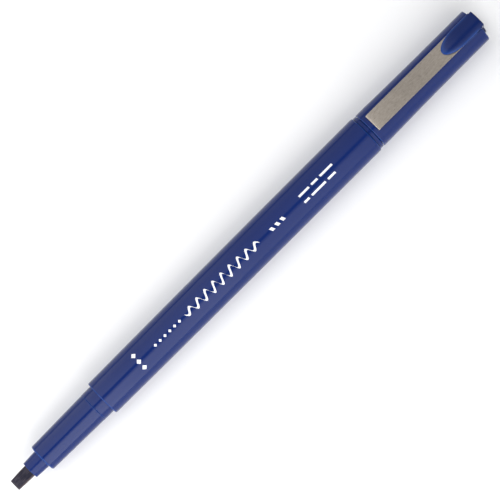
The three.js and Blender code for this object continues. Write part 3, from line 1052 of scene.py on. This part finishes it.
def clip_middle_line():
    """Points [station, height] of the strip's middle, close together where it bends.

    The bow is a cubic Bezier curve, flat at both ends, with its handles a third of its length.
    """
    crest = top_height("clip") - CLIP_THICKNESS / 2
    middle = crest - CLIP_RISE
    free_end = CAP_MOUTH_RADIUS + CLIP_OFF_CAP
    start = CLIP_FRONT + CLIP_THICKNESS / 2
    turn = np.linspace(0, math.pi / 2, 14)
    rise_centre = (start + CLIP_BEND, crest - CLIP_BEND)
    rise = quarter_bend(rise_centre, CLIP_BEND, -np.cos(turn), np.sin(turn))
    bow_front, bow_rear = start + crest - free_end, TONGUE_TIP - CLIP_STRAIGHT
    handle = (bow_rear - bow_front) / 3
    corners = np.array([(bow_front, crest), (bow_front + handle, crest),
                        (bow_rear - handle, middle), (bow_rear, middle)])
    share = np.linspace(0, 1, 60)[1:]
    rest = 1 - share
    weights = np.stack([rest ** 3, 3 * share * rest ** 2, 3 * share ** 2 * rest, share ** 3], 1)
    bow = weights @ corners
    root = np.linspace(bow_rear, HOOK_STATION - HOOK_BEND, 16)[1:]
    straight = np.stack([root, np.full_like(root, middle)], 1)
    fall_centre = (HOOK_STATION - HOOK_BEND, middle - HOOK_BEND)
    fall = quarter_bend(fall_centre, HOOK_BEND, np.sin(turn), np.cos(turn))[1:]
    hook_end = (HOOK_STATION, CAP_END_RADIUS - HOOK_DEPTH)
    return np.vstack([(start, free_end), rise, bow, straight, fall, hook_end])


def clip_surface():
    """Each ring is middle + height x normal + width x Y, over a softly cornered rectangle."""
    line = clip_middle_line()
    ahead = np.gradient(line, axis=0)
    ahead /= np.linalg.norm(ahead, axis=1)[:, None]
    normal = np.stack([-ahead[:, 1], ahead[:, 0]], 1)
    run = np.concatenate([[0], np.cumsum(np.linalg.norm(np.diff(line, axis=0), axis=1))])
    from_end = np.clip(CLIP_CORNER - run, 0, CLIP_CORNER)
    half_wide = CLIP_HALF_WIDTH - (CLIP_CORNER - np.sqrt(CLIP_CORNER ** 2 - from_end ** 2))
    in_hook = line[:, 1] < line[:, 1].max() - CLIP_RISE - HOOK_BEND / 2
    half_wide[in_hook & (run > run[-1] / 2)] = HOOK_HALF_WIDTH
    half_thick = CLIP_THICKNESS / 2
    corners = (-1, -half_thick), (1, -half_thick), (1, half_thick), (-1, half_thick)
    section = soften([(*corner, CLIP_EDGE_ROUND) for corner in corners], closed=True, steps=4)
    inward = np.sign(section[:, 0]) * (1 - np.abs(section[:, 0]))
    across = np.sign(section[:, 0])[None] * half_wide[:, None] - inward[None]
    height = np.broadcast_to(section[:, 1], across.shape)
    point = line[:, None] + height[..., None] * normal[:, None]
    return capped(in_frame(point[..., 0], across, point[..., 1]))


add_piece("spring_clip", [clip_surface()], clip_steel, "clip", "clip_steel", "clip", sharp=50)

# %% [markdown]
# ## Printed marks
#
# The barrel is pad-printed in white. These marks are plain ornaments of the kind a broad nib
# makes: lozenges, dashes and one long wave. A nib is a short line that is carried along a
# path without turning, so a stroke's two edges are path + nib / 2 and path - nib / 2, which
# is what makes it thick on the way down and thin on the way up. The ink is a thin layer that
# really stands on the surface, because fine print would be lost in a baked picture.

# %% Printed marks
PRINT_TURN = math.radians(-9)
INK_THICKNESS = 0.012
INK_ROOT = 0.02
STROKE_ROWS = 9
BIG_LOZENGES = 13.6                # the marks' stations, in mm behind the shoulder
SMALL_LOZENGES = 19.6
WAVE_FRONT = 30.5
WAVE_REAR = 57.2
BROAD_DASHES = 61.6
DASH_LINES = 72.8
BIG_PITCH = 2.1
SMALL_PITCH = 1.75
DASH_PITCH = 1.9
DASH_GAP = 0.9


def wrapped(along, side, lift):
    """A flat point laid on the barrel: its sideways distance becomes an angle."""
    radius = barrel_radius(along)
    return on_axis(along, radius + lift, PRINT_TURN - side / radius)


def stroke(left, right):
    """A thin closed layer between two edges [point, (along, side)] on the barrel.

    Its rows are blends of the two edges, close enough together to follow the round barrel,
    first over the top of the layer and then back along its root.
    """
    blend = np.linspace(0, 1, STROKE_ROWS)
    over = [(share, INK_THICKNESS) for share in blend]
    back = [(share, -INK_ROOT) for share in blend[::-1]]
    rows = [wrapped(*(left + (right - left) * share).T, lift) for share, lift in over + back]
    return capped(np.stack(rows, axis=1))


def pen_stroke(path, nib_width, nib_turn):
    """The stroke of a nib of a width, held at an angle in degrees, along a path."""
    turn = math.radians(nib_turn)
    nib_half = np.array([math.cos(turn), math.sin(turn)]) * nib_width / 2
    return stroke(path + nib_half, path - nib_half)


def dash(start, end, side, width, slant):
    along = np.linspace(start, end, 12)
    return pen_stroke(np.stack([along, np.full_like(along, side)], 1), width, slant)


def lozenge(along, side, size):
    path = np.linspace([along - size / 2, side], [along, side + size / 2], 4)
    return pen_stroke(path + [size / 4, -size / 4], size / math.sqrt(2), -45)


def wave(start, end, height, waves, nib_width, nib_turn):
    along = np.linspace(start, end, 40 * waves)
    turns = 2 * math.pi * waves * (along - start) / (end - start)
    fade = np.sin(math.pi * (along - start) / (end - start)) ** 0.25
    side = height * np.sin(turns) * fade
    return pen_stroke(np.stack([along, side], 1), nib_width, nib_turn)


def printed_layers():
    """Three lozenges across, a row of six, a wave of nine, three dashes and two dashed lines."""
    layers = [lozenge(SHOULDER + BIG_LOZENGES, BIG_PITCH * i, size=1.5) for i in (-1, 0, 1)]
    layers += [lozenge(SHOULDER + SMALL_LOZENGES + SMALL_PITCH * i, 0, size=0.95) for i in range(6)]
    layers.append(wave(SHOULDER + WAVE_FRONT, SHOULDER + WAVE_REAR,
                       height=1.2, waves=9, nib_width=0.7, nib_turn=70))
    for i in range(3):
        start = SHOULDER + BROAD_DASHES + DASH_PITCH * i
        layers.append(dash(start, start + 0.9, side=0.1, width=1.15, slant=66))
    for side, lengths in ((-0.9, (3.6, 2.2, 4.4)), (1.2, (1.8, 5.0, 2.6))):
        start = SHOULDER + DASH_LINES
        for length in lengths:
            layers.append(dash(start, start + length, side, width=0.6, slant=80))
            start += length + DASH_GAP
    return layers


add_piece("printed_marks", printed_layers(), white_ink, "pen", "body_plastic")

# %% [markdown]
# ## The floor
#
# The marker lies on a plain pale table. A curved backdrop would hide the table's far edge,
# but the camera looks down and never sees it, so one large plane is enough. It lies a hair
# under the marker's lowest line, so that the two never share a surface.

# %% Floor
FLOOR_SIZE = 6
FLOOR_DROP = 0.00005

floor_nodes = Nodes("table_surface")
floor_tone = floor_nodes.noise(0.004, detail=2)
table_surface = floor_nodes.finish(
    Base_Color=floor_nodes.mix(floor_tone, rgb(0.95, 0.95, 0.95), rgb(0.97, 0.97, 0.97)),
    Roughness=0.6,
)
bpy.ops.mesh.primitive_plane_add(size=FLOOR_SIZE, location=(0, 0, -FLOOR_DROP))
floor = bpy.context.object
floor.name = "table"
floor.data.materials.append(table_surface)
print("floor:", floor.name, FLOOR_SIZE, "m wide")

# %% [markdown]
# ## The camera
#
# It looks down on the marker from far away with a long lens, so the marker hardly narrows,
# and stands a little to the side of the clip. A camera could be aimed with a constraint,
# but its three directions are short sums, and these also set the marker's slope in view.

# %% Camera
VIEW_TURN = math.radians(9)        # the camera stands this far round toward -Y from the clip
CAMERA_DISTANCE = 0.78
CAMERA_STATION = 69.8              # the camera is square to the marker here
CENTRE_STATION = 86.25             # and looks at the marker here
SLOPE_IN_VIEW = math.radians(44.98)
SIDE_IN_VIEW = -0.12               # the marker's axis passes this many mm beside the middle
VIEW_WIDTH = 0.1298                # in metres, at the marker
SENSOR_WIDTH = 36

along = Vector((1, 0, 0))
toward_camera = Vector((0, -math.sin(VIEW_TURN), math.cos(VIEW_TURN)))
centre = Vector((TIP_X + CENTRE_STATION * MM, 0, AXIS_HEIGHT))
camera_place = Vector((TIP_X + CAMERA_STATION * MM, 0, AXIS_HEIGHT)) + toward_camera * CAMERA_DISTANCE
look = (centre - camera_place).normalized()
marker_in_view = (along - look * along.dot(look)).normalized()
across_in_view = look.cross(marker_in_view)
camera_place += across_in_view * SIDE_IN_VIEW * MM
right = marker_in_view * math.cos(SLOPE_IN_VIEW) + across_in_view * math.sin(SLOPE_IN_VIEW)
up = right.cross(look)

camera_data = bpy.data.cameras.new("camera")
camera_data.sensor_width = SENSOR_WIDTH
camera_data.lens = SENSOR_WIDTH * CAMERA_DISTANCE / VIEW_WIDTH
camera_data.clip_start = 0.01
camera = bpy.data.objects.new("camera", camera_data)
bpy.context.scene.collection.objects.link(camera)
camera_turn = Matrix((right, up, -look)).transposed().to_4x4()
camera.matrix_world = Matrix.Translation(camera_place) @ camera_turn
bpy.context.scene.camera = camera
slope = math.atan2(along.dot(up), along.dot(right))
print("slope of the marker in view, degrees:", round(math.degrees(slope), 2))

# %% [markdown]
# ## Light
#
# Glossy plastic shows its lights as bands. Two large soft boxes, one on each side of the
# marker, nearly meet over it, and their gap draws the fine dark line along the top of the
# barrel. Each is made of strips, because one flat light can't be dimmer toward the cap. A
# low light in front of the nib fills the clip's free end. A picture of a studio on the world
# would do the same, but area lights can be moved one by one.

# %% Light
BOX_DISTANCE = 0.6
BOX_SPAN = (-0.40, 0.24)           # the ends of a soft box along the marker
BOX_STRIPS = 8
BOX_HOT_SPOT = -0.13               # it is brightest here, opposite the nib
BOX_HOT_WIDTH = 0.13
BOX_BASE = 0.6
BOX_PEAK = 2.5
FILL_PLACE = Vector((-0.50, -0.06, 0.19))
FILL_SIZE = (0.6, 0.34)
FILL_RADIANCE = 3.6
WORLD_STRENGTH = 0.25


def flat_light(name, place, width, length, radiance, across, along_light):
    """A flat light facing the marker: its power is pi x area x radiance."""
    data = bpy.data.lights.new(name, "AREA")
    data.shape = "RECTANGLE"
    data.size, data.size_y = width, length
    data.energy = math.pi * width * length * radiance
    light = bpy.data.objects.new(name, data)
    bpy.context.scene.collection.objects.link(light)
    turn = Matrix((across, along_light, across.cross(along_light))).transposed().to_4x4()
    light.matrix_world = Matrix.Translation(place) @ turn
    light.visible_camera = False


def soft_box(name, side, inner, outer, share):
    """A soft box of strips, tangent to a circle round the marker, dimmer toward the cap.

    Inner and outer are its edges as turns from the camera, in degrees. A strip's radiance is
    share x (base + peak / (1 + (distance from the hot spot / hot width)^2)).
    """
    middle, half = math.radians(outer + inner) / 2, math.radians(outer - inner) / 2
    sideways = along.cross(toward_camera) * side
    facing = toward_camera * math.cos(middle) + sideways * math.sin(middle)
    length = (BOX_SPAN[1] - BOX_SPAN[0]) / BOX_STRIPS
    for i in range(BOX_STRIPS):
        distance = BOX_SPAN[0] + (i + 0.5) * length
        off_spot = (distance - BOX_HOT_SPOT) / BOX_HOT_WIDTH
        radiance = share * (BOX_BASE + BOX_PEAK / (1 + off_spot ** 2))
        place = Vector((0, 0, AXIS_HEIGHT)) + along * distance + facing * BOX_DISTANCE
        width = 2 * BOX_DISTANCE * math.tan(half)
        flat_light(f"{name}_{i + 1}", place, width, length, radiance, along.cross(facing), along)


soft_box("near_box_wide", 1, 8, 80, 0.75)
soft_box("near_box_core", 1, 17, 80, 0.70)
soft_box("far_box", -1, 7, 92, 0.76)

fill_facing = FILL_PLACE.normalized()
fill_across = Vector((0, 0, 1)).cross(fill_facing).normalized()
fill_along = fill_facing.cross(fill_across)
flat_light("fill", FILL_PLACE, *FILL_SIZE, FILL_RADIANCE, fill_across, fill_along)

world = bpy.data.worlds.new("studio")
bpy.context.scene.world = world
world.use_nodes = True
background = world.node_tree.nodes["Background"]
background.inputs["Color"].default_value = rgb(0.95, 0.96, 1.0)
background.inputs["Strength"].default_value = WORLD_STRENGTH
bpy.context.scene.view_settings.view_transform = "Standard"
